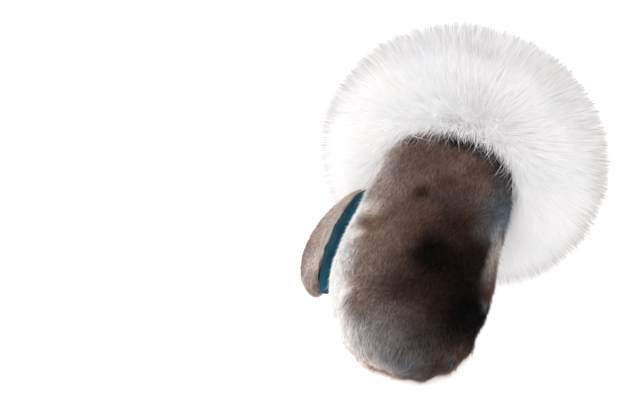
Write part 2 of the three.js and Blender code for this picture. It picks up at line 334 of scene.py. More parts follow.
MARKS = (
    Mark(358, 262, 26, 62, TAUPE, 0.75, 1.7),
    Mark(400, 165, 26, 40, TAUPE, 0.25, 1.7),
    Mark(390, 352, 46, 38, GREY, 0.8, 1.6),
    Mark(382, 230, 26, 16, RUST, 0.45, 1.6),
    Mark(410, 212, 22, 12, RUST, 0.45),
    Mark(448, 230, 44, 44, UMBER, 0.7, 1.7),
    Mark(366, 338, 24, 36, ASH, 0.55, 1.6),
    Mark(456, 275, 46, 50, DARK_BROWN, 0.95, 1.5),
    Mark(436, 342, 26, 26, DARK_BROWN, 0.65, 1.6),
    Mark(410, 292, 32, 16, UMBER, 0.7, 1.6),
    Mark(470, 318, 38, 32, INK, 0.98, 1.2),
    Mark(430, 254, 19, 17, INK, 0.9, 1.5),
    Mark(424, 192, 8, 7, UMBER, 0.9, 1.6),
    Mark(448, 182, 12, 4, UMBER, 0.4),
    Mark(392, 266, 22, 13, UMBER, 0.35, 1.6),
    Mark(358, 318, 6, 6, BROWN, 0.5, 1.6),
    Mark(458, 352, 12, 7, BROWN, 0.6),
    # Painted sheen along the lower edge.
    Mark(446, 362, 14, 6, PAINTED_SHEEN, 0.85, 1.5),
    Mark(404, 366, 20, 10, PAINTED_SHEEN, 0.55, 1.6),
    Mark(488, 290, 5, 9, RUST, 0.4),
    # Painted highlight on the right edge.
    Mark(484, 305, 4, 6, PAINTED_HIGHLIGHT, 0.4, 1.7),
    Mark(383, 172, 14, 32, PALE, 0.55, 1.7),
    Mark(372, 208, 16, 8, PALE, 0.7, 1.6),
    # The left flank: pale fur and painted rim light.
    Mark(332, 258, 17, 50, WHITE_FUR_AND_RIM_LIGHT, 0.97, 1.4),
    Mark(327, 305, 20, 44, WHITE_FUR_AND_RIM_LIGHT, 0.98, 1.4),
    Mark(340, 345, 20, 28, WHITE_FUR_AND_RIM_LIGHT, 0.95, 1.5),
    Mark(357, 350, 18, 22, WHITE_FUR_AND_RIM_LIGHT, 0.5, 1.6),
    # Painted light: lifts the shade along the lower edge to pale.
    Mark(368, 372, 30, 14, PALE, 0.9, 1.5),
    Mark(380, 377, 38, 13, PALE, 0.7, 1.5),
    Mark(432, 370, 30, 12, UMBER, 0.8, 1.5),
    # Painted shadow along the line where the ruff meets the hand, out to the right edge.
    Mark(410, 137, 12, 6, INK, 0.9),
    Mark(457, 142, 17, 8, PAINTED_SHADOW, 0.97),
    Mark(482, 149, 14, 9, PAINTED_SHADOW, 0.98),
    Mark(501, 170, 12, 14, PAINTED_SHADOW, 0.98),
    Mark(512, 194, 10, 18, PAINTED_SHADOW, 0.98),
    # Painted sheen where the right side turns away.
    Mark(500, 214, 16, 28, PAINTED_SHEEN, 0.9, 1.6),
    # Painted highlight along the right rim.
    Mark(499, 266, 6, 24, PALE, 0.85, 1.5),
    # Painted highlight on the right rim.
    Mark(506, 236, 6, 22, PAINTED_HIGHLIGHT, 0.4, 1.6),
)


@dataclass(frozen=True)
class Lamp:
    """A square soft light: its place, the length of its side and its power in watts."""

    name: str
    place: tuple[float, float, float]
    side: float
    power: float


LAMPS = (
    Lamp("key", (-1.7, -0.3, 1.1), 1.6, 8.0),
    Lamp("front", (-0.4, -1.7, 1.3), 1.4, 11.0),
    Lamp("back", (0.5, 1.5, 1.4), 1.4, 3.0),
)


@dataclass
class Studio:
    """The camera at the photograph's angle, a pale floor, and soft light from the left and the front."""

    position: Vector = field(default_factory=lambda: Vector((0.34659, -1.23901, 0.59196)))
    azimuth: float = 19.874
    elevation: float = 21.794
    lens: float = 98.32
    floor_size: float = 12.0
    floor_grey: float = 0.92
    floor_roughness: float = 0.9
    floor_glow: float = 0.6
    sky_strength: float = 1.05
    aim: Vector = field(default_factory=lambda: Vector((0.0, 0.0, 0.08)))
    camera: bpy.types.Object = field(init=False)

    def build(self) -> None:
        """Makes the camera, the floor, the lights and the sky."""
        data = bpy.data.cameras.new("camera")
        data.lens = self.lens
        data.sensor_width = SENSOR_WIDTH
        self.camera = bpy.data.objects.new("camera", data)
        self.camera.location = self.position
        self.camera.rotation_euler = (
            math.radians(90 - self.elevation),
            0.0,
            math.radians(self.azimuth),
        )
        bpy.context.scene.collection.objects.link(self.camera)
        bpy.context.scene.camera = self.camera
        bpy.context.scene.view_settings.view_transform = "Standard"
        self._floor()
        for lamp in LAMPS:
            self._light(lamp)
        self._sky()
        LOG.info("studio: camera, floor, %d lights", len(LAMPS))

    def ray(self, across: float, down: float) -> tuple[Vector, Vector]:
        """The line of sight through a pixel.

        Args:
            across, down: the pixel, in the photograph's frame.

        Returns:
            Where the line starts and its direction.
        """
        focal = self.lens / SENSOR_WIDTH * IMAGE_WIDTH
        sight = Vector(((across - IMAGE_WIDTH / 2) / focal, (IMAGE_HEIGHT / 2 - down) / focal, -1.0))
        turn = self.camera.rotation_euler.to_matrix()
        return self.position.copy(), (turn @ sight).normalized()

    def pixel_size(self, distance: float) -> float:
        """How many metres a pixel takes in at a distance."""
        return distance * SENSOR_WIDTH / self.lens / IMAGE_WIDTH

    def _floor(self) -> None:
        """A wide pale floor, which isn't part of the mitten."""
        shape = bmesh.new()
        bmesh.ops.create_grid(shape, x_segments=1, y_segments=1, size=self.floor_size / 2)
        floor = mesh_object("floor", shape)
        sheet = NodeSheet("pale floor")
        sockets = {
            "Base Color": (self.floor_grey, self.floor_grey, self.floor_grey, 1.0),
            "Roughness": self.floor_roughness,
            "Emission Color": PURE_WHITE,
            "Emission Strength": self.floor_glow,
        }
        floor.data.materials.append(sheet.finish(sockets))

    def _light(self, lamp: Lamp) -> None:
        """Makes a square soft light that looks at the mitten.

        Args:
            lamp: its place, size and power.
        """
        data = bpy.data.lights.new(lamp.name, "AREA")
        data.size = lamp.side
        data.energy = lamp.power
        light = bpy.data.objects.new(lamp.name, data)
        light.location = lamp.place
        light.rotation_euler = (self.aim - light.location).to_track_quat("-Z", "Y").to_euler()
        bpy.context.scene.collection.objects.link(light)

    def _sky(self) -> None:
        """An even white surrounding."""
        world = bpy.data.worlds.new("white surrounding")
        world.use_nodes = True
        background = world.node_tree.nodes["Background"]
        background.inputs["Color"].default_value = PURE_WHITE
        background.inputs["Strength"].default_value = self.sky_strength
        bpy.context.scene.world = world


def mesh_object(name: str, shape: bmesh.types.BMesh) -> bpy.types.Object:
    """Makes a bmesh an object at the origin.

    Args:
        name: the object's name.
        shape: the bmesh, which is freed.

    Returns:
        The object.
    """
    mesh = bpy.data.meshes.new(name)
    shape.to_mesh(mesh)
    shape.free()
    made = bpy.data.objects.new(name, mesh)
    bpy.context.scene.collection.objects.link(made)
    return made


def points_of(mesh: bpy.types.Mesh) -> np.ndarray:
    """Reads a mesh's vertices.

    Args:
        mesh: the mesh.

    Returns:
        Their places, a row to a vertex.
    """
    places = np.zeros(len(mesh.vertices) * 3, np.float32)
    mesh.vertices.foreach_get("co", places)
    return places.reshape(-1, 3).astype(float)


def normals_of(mesh: bpy.types.Mesh) -> np.ndarray:
    """Reads the normals at a mesh's vertices.

    Args:
        mesh: the mesh.

    Returns:
        The normals, a row to a vertex.
    """
    normals = np.zeros(len(mesh.vertices) * 3, np.float32)
    mesh.vertex_normals.foreach_get("vector", normals)
    return normals.reshape(-1, 3).astype(float)


def move_points(mesh: bpy.types.Mesh, places: np.ndarray) -> None:
    """Puts a mesh's vertices elsewhere."""
    mesh.vertices.foreach_set("co", places.astype(np.float32).ravel())
    mesh.update()


def merged_copy(name: str, *nodes: bpy.types.Object) -> bpy.types.Object:
    """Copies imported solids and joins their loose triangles.

    Args:
        name: the copy's name.
        nodes: the solids.

    Returns:
        The new object.
    """
    shape = bmesh.new()
    for node in nodes:
        shape.from_mesh(node.data)
    bmesh.ops.remove_doubles(shape, verts=shape.verts, dist=MERGE_DISTANCE)
    return mesh_object(name, shape)


def remade(made: bpy.types.Object, voxel: float, rounds: int) -> None:
    """Gives a closed mesh small even faces and smooths it.

    Args:
        made: the object whose mesh is replaced.
        voxel: the size of the new faces.
        rounds: how many times it is smoothed.
    """
    even = made.modifiers.new("even", "REMESH")
    even.mode = "VOXEL"
    even.voxel_size = voxel
    soft = made.modifiers.new("soft", "SMOOTH")
    soft.iterations = rounds
    graph = bpy.context.evaluated_depsgraph_get()
    mesh = bpy.data.meshes.new_from_object(made.evaluated_get(graph))
    made.modifiers.clear()
    made.data = mesh
    mesh.name = made.name
    mesh.shade_smooth()


def drop_faces(made: bpy.types.Object, dropped: np.ndarray) -> None:
    """Deletes some of an object's faces.

    Args:
        made: the object.
        dropped: for each face, whether it goes.
    """
    shape = bmesh.new()
    shape.from_mesh(made.data)
    shape.faces.ensure_lookup_table()
    faces = [shape.faces[k] for k in np.flatnonzero(dropped)]
    bmesh.ops.delete(shape, geom=faces, context="FACES")
    shape.to_mesh(made.data)
    shape.free()


def carry(made: bpy.types.Object, slot: Slot, *nodes: str) -> None:
    """Ties a piece to the frame and reports it.

    Args:
        made: the piece.
        slot: the material slot of its finish. Not used.
        nodes: the solids that it stands for, if any.
    """
    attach(made, "root")
    if nodes:
        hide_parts(*nodes)
    triangles = sum(len(face.vertices) - 2 for face in made.data.polygons)
    LOG.info("%s: %d triangles", made.name, triangles)


class MiddleLine:
    """The middle of a form's sections along Y and their half sizes, read from its vertices.

    A row holds a section's place along Y, its middle in X and Z, its half width and its half height.
    """

    SLICES = 24
    FEWEST_POINTS = 4

    def __init__(self, points: np.ndarray) -> None:
        """Reads the sections, slice by slice.

        Args:
            points: the form's vertices.
        """
        cuts = np.linspace(points[:, 1].min(), points[:, 1].max(), self.SLICES + 1)
        rows = []
        for low, high in zip(cuts[:-1], cuts[1:]):
            near = points[(points[:, 1] >= low) & (points[:, 1] <= high)]
            if len(near) < self.FEWEST_POINTS:
                continue
            least, most = near.min(0), near.max(0)
            middle, half = (least + most) / 2, (most - least) / 2
            rows.append(((low + high) / 2, middle[0], middle[2], half[0], half[2]))
        self.rows = np.array(rows)

    def centre(self, points: np.ndarray, end: float = 0.0) -> np.ndarray:
        """The middle of the section at each point.

        Args:
            points: where the sections are asked for.
            end: how near to the finger end a section may lie.

        Returns:
            The middles.
        """
        along = np.maximum(points[:, 1], self.rows[0, 0] + end)
        middle = [np.interp(along, self.rows[:, 0], self.rows[:, k]) for k in (1, 2)]
        return np.stack([middle[0], along, middle[1]], 1)

    def half(self, points: np.ndarray) -> np.ndarray:
        """The section's half width and half height at each point."""
        sizes = [np.interp(points[:, 1], self.rows[:, 0], self.rows[:, k]) for k in (3, 4)]
        return np.stack(sizes, 1)


class Waver:
    """A smooth wandering that neighbouring hairs share."""

    WAVES = 7
    FINENESS = (0.6, 1.6)

    def __init__(self, draw: np.random.Generator, wavelength: float) -> None:
        """Draws waves of about one length.

        Args:
            draw: what draws them.
            wavelength: about how long they are, in metres.
        """
        scale = 2 * math.pi / wavelength
        ways = unit(draw.normal(size=(self.WAVES, 3)))
        self.ways = ways * scale * draw.uniform(*self.FINENESS, (self.WAVES, 1))
        self.starts = draw.uniform(0, 2 * math.pi, self.WAVES)
        self.pulls = unit(draw.normal(size=(self.WAVES, 3))) / math.sqrt(self.WAVES)

    def at(self, points: np.ndarray) -> np.ndarray:
        """The pull at each point."""
        return np.sin(points @ self.ways.T + self.starts) @ self.pulls


def wandered(
    ways: np.ndarray,
    points: np.ndarray,
    draw: np.random.Generator,
    wanders: Sequence[Wander],
) -> np.ndarray:
    """Directions that wander with their place.

    Args:
        ways: the directions.
        points: where each one is.
        draw: what draws the waves.
        wanders: each wandering's strength and its wavelength.

    Returns:
        The new directions.
    """
    for strength, wavelength in wanders:
        ways = ways + strength * Waver(draw, wavelength).at(points)
    return unit(ways)


@dataclass
class Hairs:
    """Hairs as they are laid out, one row of each array to a hair.

    A hair leaves its root along its lead, and its turn is added to that way up to the tip. Its blade looks
    about along its look. Its edge is how pale or how tipped it is, from 0 to 1.
    """

    roots: np.ndarray
    leads: np.ndarray
    turns: np.ndarray
    looks: np.ndarray
    lengths: np.ndarray
    widths: np.ndarray
    edges: np.ndarray

    def chosen(self, which: np.ndarray) -> "Hairs":
        """Only some of them, or all in another order."""
        return Hairs(*(getattr(self, part.name)[which] for part in fields(self)))

    def lines(self, steps: int) -> np.ndarray:
        """The middle line of each hair, from its root to its tip.

        Args:
            steps: how many steps a line has.

        Returns:
            The places along each hair.
        """
        places = [self.roots]
        for step in range(steps):
            way = unit(self.leads + self.turns * ((step + 0.5) / steps))
            places.append(places[-1] + way * (self.lengths / steps)[:, None])
        return np.stack(places, 1)


class HairMesh:
    """Turns hairs into one mesh of fine tapered blades."""

    STRAND_MAP = "Strand"
    BAKE_MAP = "OFBake"
    TAPER = 1.5
    SORTING_BAND = 4 * MM
    CELL_ASPECT = 3.0
    CELL_MARGIN = 0.15

    def __init__(self, steps: int, draw: np.random.Generator) -> None:
        """Takes the number of steps along a blade and what draws each hair's own number."""
        self.steps = steps
        self.draw = draw

    def build(self, name: str, hairs: Hairs, adjust: Optional[Adjust] = None) -> bpy.types.Object:
        """Makes the mesh.

        Args:
            name: the piece's name.
            hairs: the hairs.
            adjust: what moves their middle lines before they get their width.

        Returns:
            The object, with one map for each hair's number and place and one for the bake.
        """
        bands = np.round(hairs.roots[:, 1] / self.SORTING_BAND)
        hairs = hairs.chosen(np.lexsort((hairs.roots[:, 0], bands)))
        lines = hairs.lines(self.steps)
        if adjust is not None:
            lines = adjust(lines)
        lines[:, :, 2] = np.maximum(lines[:, :, 2], FLOOR_CLEARANCE)
        count, rims = len(lines), 2 * self.steps + 1
        sides = unit(np.cross(hairs.leads, hairs.looks))
        places = np.empty((count, rims, 3))
        for step in range(self.steps):
            half = hairs.widths * (1 - (step / self.steps) ** self.TAPER) / 2
            places[:, 2 * step] = lines[:, step] - sides * half[:, None]
            places[:, 2 * step + 1] = lines[:, step] + sides * half[:, None]
        places[:, -1] = lines[:, -1]
        mesh = self._mesh(name, places)
        self._maps(mesh, count)
        edge = mesh.attributes.new("edge", "FLOAT", "POINT")
        edge.data.foreach_set("value", np.repeat(hairs.edges, rims).astype(np.float32))
        made = bpy.data.objects.new(name, mesh)
        bpy.context.scene.collection.objects.link(made)
        return made

    def _corners(self) -> tuple[list[int], list[int]]:
        """Lists the corners of one blade's faces.

        Returns:
            The corners of all its faces in a row, and where each face starts among them.
        """
        corners: list[int] = []
        starts: list[int] = []
        for step in range(self.steps - 1):
            low = 2 * step
            starts.append(len(corners))
            corners += [low, low + 1, low + 3, low + 2]
        starts.append(len(corners))
        corners += [2 * self.steps - 2, 2 * self.steps - 1, 2 * self.steps]
        return corners, starts

    def _mesh(self, name: str, places: np.ndarray) -> bpy.types.Mesh:
        """Makes the blades' vertices and faces.

        Args:
            name: the mesh's name.
            places: the vertices of each blade.

        Returns:
            The mesh.
        """
        count, rims = places.shape[:2]
        corners, starts = (np.array(x) for x in self._corners())
        mesh = bpy.data.meshes.new(name)
        mesh.vertices.add(count * rims)
        mesh.vertices.foreach_set("co", places.astype(np.float32).ravel())
        mesh.loops.add(count * len(corners))
        all_corners = (np.arange(count) * rims)[:, None] + corners
        mesh.loops.foreach_set("vertex_index", all_corners.astype(np.int32).ravel())
        mesh.polygons.add(count * len(starts))
        all_starts = (np.arange(count) * len(corners))[:, None] + starts
        mesh.polygons.foreach_set("loop_start", all_starts.astype(np.int32).ravel())
        mesh.update(calc_edges=True)
        mesh.validate()
        mesh.shade_smooth()
        return mesh

    def _maps(self, mesh: bpy.types.Mesh, count: int) -> None:
        """Adds the map of each hair's number and place, and the bake's map with a cell for each hair.

        Args:
            mesh: the blades.
            count: how many there are.
        """
        corners = np.array(self._corners()[0])
        along = (corners // 2) / self.steps
        across = np.where(corners == 2 * self.steps, 0.5, corners % 2)
        own = np.repeat(self.draw.random(count)[:, None], len(corners), 1)
        strand = np.stack([own, np.broadcast_to(along, own.shape)], 2)
        columns = math.ceil(math.sqrt(count * self.CELL_ASPECT))
        rows = math.ceil(count / columns)
        inner = 1 - 2 * self.CELL_MARGIN
        left = (np.arange(count) % columns)[:, None] + self.CELL_MARGIN + inner * across
        low = (np.arange(count) // columns)[:, None] + self.CELL_MARGIN + inner * along
        bake = np.stack([left / columns, low / rows], 2)
        for name, values in ((self.BAKE_MAP, bake), (self.STRAND_MAP, strand)):
            layer = mesh.uv_layers.new(name=name)
            layer.data.foreach_set("uv", values.astype(np.float32).ravel())


class Ground:
    """A surface that hairs grow on or lie against."""

    # Only what lies nearer than this can be sunk in the surface.
    NEAR = 12 * MM

    def __init__(self, made: bpy.types.Object) -> None:
        """Reads an object's triangles.

        Args:
            made: the object.
        """
        mesh = made.data
        mesh.calc_loop_triangles()
        corners = np.zeros(len(mesh.loop_triangles) * 3, np.int32)
        mesh.loop_triangles.foreach_get("vertices", corners)
        self.corners = corners.reshape(-1, 3)
        self.points = points_of(mesh)
        self.normals = normals_of(mesh)
        self.tree = BVHTree.FromPolygons(self.points.tolist(), self.corners.tolist())

    def scattered(self, count: int, draw: np.random.Generator) -> tuple[np.ndarray, np.ndarray]:
        """Even random places on the surface.

        Args:
            count: how many.
            draw: what draws them.

        Returns:
            The places and the normals there.
        """
        a, b, c = (self.points[self.corners[:, k]] for k in range(3))
        areas = np.linalg.norm(np.cross(b - a, c - a), axis=1)
        which = draw.choice(len(areas), count, p=areas / areas.sum())
        shares = draw.dirichlet((1, 1, 1), count)[:, :, None]
        corners = self.corners[which]
        places = (self.points[corners] * shares).sum(1)
        return places, unit((self.normals[corners] * shares).sum(1))

    def nearest(self, points: np.ndarray) -> tuple[np.ndarray, np.ndarray]:
        """The nearest place on the surface to each point, and the normal there."""
        found = [self.tree.find_nearest(Vector(point))[:2] for point in points]
        return np.array([f[0] for f in found]), np.array([f[1] for f in found])

    def outside(self, lines: np.ndarray, clear: float) -> np.ndarray:
        """Lifts hairs' lines out of the surface.

        Args:
            lines: the middle lines of hairs.
            clear: how high over the surface they have to stay.

        Returns:
            The lines with what lay lower lifted.
        """
        flat = lines.reshape(-1, 3)
        places, normals = self.nearest(flat)
        apart = flat - places
        sunk = ((apart * normals).sum(1) < clear) & (np.linalg.norm(apart, axis=1) < self.NEAR)
        flat = np.where(sunk[:, None], places + normals * clear, flat)
        return flat.reshape(lines.shape)


@dataclass(frozen=True)
class ShortFur:
    """Short brown fur with dark spots, grey and pale places, on the hide and on the hairs.

    A hair is deepest in shade at its root and lightest from tip_from on, and each has its own lightness.
    Even is how much of that shading the pale fur loses.
    """

    brown: Colour = tint(153, 125, 113)
    other_brown: Colour = tint(122, 97, 86)
    pale: Colour = tint(252, 249, 247)
    clouds: Noise = (28.0, 4.0)
    cloud_edges: Range = (0.35, 0.65)
    ragged_scale: float = 48.0
    ragged_reach: float = 8 * MM
    deepest: float = 0.45
    tip_light: float = 1.25
    tip_from: float = 0.8
    own_least: float = 0.55
    own_range: float = 0.9
    under_grain: Noise = (1200.0, 1.0)
    under_least: float = 0.35
    under_range: float = 0.5
    even: float = 0.75
    roughness: float = 0.62
    specular: float = 0.06

    def material(self, patches: Sequence[Patch], hairs: bool) -> bpy.types.Material:
        """Makes the finish.

        Args:
            patches: the marks where they lie.
            hairs: whether it is for the hairs and not for the hide under them.

        Returns:
            The material.
        """
        sheet = NodeSheet("short fur" if hairs else "hide under short fur")
        clouds = sheet.noise(*self.clouds).between(*self.cloud_edges)
        colour = sheet.mix(clouds, self.brown, self.other_brown)
        place = sheet.shifted(self.ragged_scale, self.ragged_reach)
        # Among the patches are painted shadow, painted highlights, painted sheen and painted rim light.
        for patch in patches:
            mask = sheet.blob(place, patch.centre, patch.radii, patch.soft) * patch.strength
            colour = sheet.mix(mask, colour, patch.colour)
        edge = sheet.attribute("edge")
        # Pale along the seams; on the hand's flank this is pale fur with painted rim light.
        colour = sheet.mix(edge, colour, self.pale)
        if hairs:
            own, along = sheet.hair()
            light = along.between(0.0, self.tip_from) * (self.tip_light - self.deepest) + self.deepest
            light = light * (own * self.own_range + self.own_least)
        else:
            # The hide under the hairs is darkened by painted shade, as their roots are, with a fine grain.
            light = sheet.noise(*self.under_grain) * self.under_range + self.under_least
        light = light + edge * self.even * (1.0 - light)
        return sheet.finish(
            {
                "Base Color": sheet.scaled(colour, light),
                "Roughness": self.roughness,
                "Specular IOR Level": self.specular,
            }
        )


@dataclass(frozen=True)
class LongFur:
    """Long white fur, some hairs tipped beige, its underfur greyed as painted shade between the hairs."""

    white: Colour = tint(246, 245, 245)
    cool: Colour = tint(240, 240, 242)
    beige: Colour = tint(100, 88, 81)
    # Painted shade: how grey the underfur is, standing for the depth between the hairs.
    under: Colour = tint(228, 226, 226)
    under_share: float = 0.6
    clouds: Noise = (22.0, 3.0)
    cloud_edges: Range = (0.4, 0.75)
    tip_edges: Range = (0.6, 0.95)
    roughness: float = 0.6
    specular: float = 0.3
    # Painted light: the fur glows a little to lift the shade between its hairs.
    glow: float = 0.1

    def material(self, hairs: bool) -> bpy.types.Material:
        """Makes the finish.

        Args:
            hairs: whether it is for the hairs and not for the thick underfur.

        Returns:
            The material.
        """
        sheet = NodeSheet("long fur" if hairs else "underfur")
        clouds = sheet.noise(*self.clouds).between(*self.cloud_edges)
        colour = sheet.mix(clouds, self.white, self.cool)
        if hairs:
            along = sheet.hair()[1]
            tips = along.between(*self.tip_edges) * sheet.attribute("edge")
            colour = sheet.mix(tips, colour, self.beige)
        else:
            # The underfur greyed as painted shade.
            colour = sheet.mix(self.under_share, colour, self.under)
        return sheet.finish(
            {
                "Base Color": colour,
                "Roughness": self.roughness,
                "Specular IOR Level": self.specular,
                # Painted glow of the fur.
                "Emission Color": self.white,
                "Emission Strength": self.glow,
            }
        )


@dataclass(frozen=True)
class Suede:
    """Teal suede with a brushed nap."""

    dark: Colour = tint(8, 58, 74)
    light: Colour = tint(20, 92, 112)
    brushing: Noise = (60.0, 3.0)
    brushing_edges: Range = (0.3, 0.7)
    brushing_share: float = 0.55
    nap: Noise = (1500.0, 2.0)
    nap_share: float = 0.6
    darkened: float = 0.1
    pile: Noise = (420.0, 3.0)
    relief_depth: float = 0.5 * MM
    relief_strength: float = 0.7
    roughness: float = 0.92
    specular: float = 0.2
    sheen: float = 0.25
    sheen_roughness: float = 0.4

    def material(self) -> bpy.types.Material:
        """Makes the finish."""
        sheet = NodeSheet("teal suede")
        brushed = sheet.noise(*self.brushing).between(*self.brushing_edges)
        nap = sheet.noise(*self.nap)
        share = brushed * self.brushing_share + nap * self.nap_share - self.darkened
        relief = nap * self.nap_share + sheet.noise(*self.pile)
        return sheet.finish(
            {
                "Base Color": sheet.mix(share, self.dark, self.light),
                "Roughness": self.roughness,
                "Specular IOR Level": self.specular,
                "Sheen Weight": self.sheen,
                "Sheen Roughness": self.sheen_roughness,
                "Normal": sheet.bump(relief, self.relief_depth, self.relief_strength),
            }
        )


@dataclass(frozen=True)
class Hide:
    """The undyed inner side of the hide."""

    light: Colour = tint(214, 200, 182)
    dark: Colour = tint(178, 160, 140)
    grain: Noise = (900.0, 4.0)
    grain_share: float = 0.3
    wear: Noise = (35.0, 4.0)
    wear_edges: Range = (0.3, 0.75)
    wear_share: float = 0.7
    relief_depth: float = 0.4 * MM
    relief_strength: float = 0.6
    roughness: float = 0.85

    def material(self) -> bpy.types.Material:
        """Makes the finish."""
        sheet = NodeSheet("undyed hide")
        grain = sheet.noise(*self.grain)
        worn = sheet.noise(*self.wear).between(*self.wear_edges)
        share = worn * self.wear_share + grain * self.grain_share
        return sheet.finish(
            {
                "Base Color": sheet.mix(share, self.light, self.dark),
                "Roughness": self.roughness,
                "Normal": sheet.bump(grain, self.relief_depth, self.relief_strength),
            }
        )


@dataclass
class ShortFurPart:
    """A part in short fur: the hide under the pile and the hairs on its outer side."""

    draw: np.random.Generator
    skin_name: str

    # The hide: its faces, how deep it lies under the pile, and where hairs grow on it. Past hidden_from, the
    # ruff hides the fur.
    voxel: float = 2.9 * MM
    smoothing: int = 14
    inset: float = 1.8 * MM
    inset_from: Range = (0.0, 0.5)
    end: float = 34 * MM
    outward_from: float = 0.35
    hidden_from: float = 14 * MM

    # Pale fur along the seams, less at the finger end if asked, and on the thumb's side with painted rim
    # light.
    edge_reach: float = 8 * MM
    edge_core: float = 0.25
    farthest_seam: float = 1.0
    pale_at_end: float = 1.0
    end_length: float = 14 * MM
    flank: float = 0.0
    flank_aside: Range = (0.72, 0.98)
    flank_before_end: Range = (6 * MM, 38 * MM)

    # How the hairs lie, with angles in degrees.
    flow: tuple[float, float, float] = (0.0, -1.0, -0.3)
    splay: float = 0.12
    wanders: Sequence[Wander] = ((0.3, 45 * MM), (0.18, 12 * MM))
    lift: float = 34.0
    lift_spread: float = 8.0
    unruly: float = 0.16
    droop: float = 0.45
    turned: float = 0.8

    # How long and how wide they are.
    pile: float = 7.5 * MM
    lengths: Range = (0.75, 1.2)
    seam_from: Range = (0.6, 1.0)
    shorter_at_seam: float = 0.3
    guard_share: float = 0.05
    guard_length: float = 1.35
    width: float = 0.34 * MM
    widths: Range = (0.7, 1.2)

    # What skin makes and takes.
    hide: bpy.types.Object = field(init=False)
    ground: Ground = field(init=False)
    line: MiddleLine = field(init=False)
    seams: Sequence[Ground] = field(init=False)

    def skin(self, node: bpy.types.Object, seams: Sequence[Ground], line: MiddleLine) -> None:
        """Makes the hide under the pile.

        Args:
            node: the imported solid.
            seams: the suede that it meets, where its fur is pale.
            line: the middle of the whole form.
        """
        self.line = line
        self.seams = seams
        self.hide = merged_copy(self.skin_name, node)
        remade(self.hide, self.voxel, self.smoothing)
        points = points_of(self.hide.data)
        normals = normals_of(self.hide.data)
        outer = eased(self._outward(points, normals), *self.inset_from)
        move_points(self.hide.data, points - normals * (self.inset * outer)[:, None])
        edge = self.hide.data.attributes.new("edge", "FLOAT", "POINT")
        edge.data.foreach_set("value", self._edges(points)[0].astype(np.float32))
        self.ground = Ground(self.hide)

    def _outward(self, points: np.ndarray, normals: np.ndarray) -> np.ndarray:
        """How far the surface looks away from the form's middle, from -1 to 1."""
        return (unit(points - self.line.centre(points, self.end)) * normals).sum(1)

    def _edges(self, points: np.ndarray) -> tuple[np.ndarray, np.ndarray]:
        """Finds how near points are to a seam, which is how pale their fur is.

        Args:
            points: places on the hide.

        Returns:
            How near each is, from 0 to 1, and its way to the seam.
        """
        best = np.full(len(points), self.farthest_seam)
        way = np.zeros_like(points)
        for seam in self.seams:
            apart = seam.nearest(points)[0] - points
            reach = np.linalg.norm(apart, axis=1)
            nearer = reach < best
            best[nearer] = reach[nearer]
            way[nearer] = apart[nearer]
        near = 1 - eased(best, self.edge_core * self.edge_reach, self.edge_reach)
        tip = self.line.rows[0, 0]
        past_end = eased(points[:, 1], tip, tip + self.end_length)
        near = near * (self.pale_at_end + (1 - self.pale_at_end) * past_end)
        return np.maximum(near, self._flank(points)), unit(way)

    def _flank(self, points: np.ndarray) -> np.ndarray:
        """Finds where the fur on the thumb's side is pale, as pale fur and painted rim light.

        Args:
            points: places on the hide.

        Returns:
            How pale it is there, pale fur and painted rim light together, from 0 to 1.
        """
        aside = (self.line.centre(points)[:, 0] - points[:, 0]) / self.line.half(points)[:, 0]
        low, high = (self.line.rows[0, 0] + length for length in self.flank_before_end)
        return self.flank * eased(aside, *self.flank_aside) * eased(points[:, 1], low, high)

    def hairs(self, count: int) -> Hairs:
        """Lays hairs over the outer side, all towards the finger end.

        Args:
            count: how many places are tried.

        Returns:
            Those hairs that show.
        """
        roots, normals = self.ground.scattered(count, self.draw)
        outer = self._outward(roots, normals) > self.outward_from
        shown = outer & (roots[:, 1] < self.hidden_from)
        roots, normals = roots[shown], normals[shown]
        edges, way = self._edges(roots)
        flow = np.array(self.flow)
        flow = unit(flow - normals * (normals @ flow)[:, None])
        flow = unit(flow + way * (self.splay * edges)[:, None])
        flow = wandered(flow, roots, self.draw, self.wanders)
        lift = np.radians(self.lift + self.draw.normal(0, self.lift_spread, len(roots)))[:, None]
        leads = unit(flow * np.cos(lift) + normals * np.sin(lift))
        leads = unit(leads + self.unruly * self.draw.normal(size=leads.shape))
        looks = unit(normals + self.turned * self.draw.normal(size=normals.shape))
        lengths = self.pile * self.draw.uniform(*self.lengths, len(roots))
        lengths *= 1 - self.shorter_at_seam * eased(edges, *self.seam_from)
        lengths[self.draw.random(len(roots)) < self.guard_share] *= self.guard_length
        widths = self.width * self.draw.uniform(*self.widths, len(roots))
        turns = flow * self.droop - normals * self.droop
        return Hairs(roots, leads, turns, looks, lengths, widths, edges)


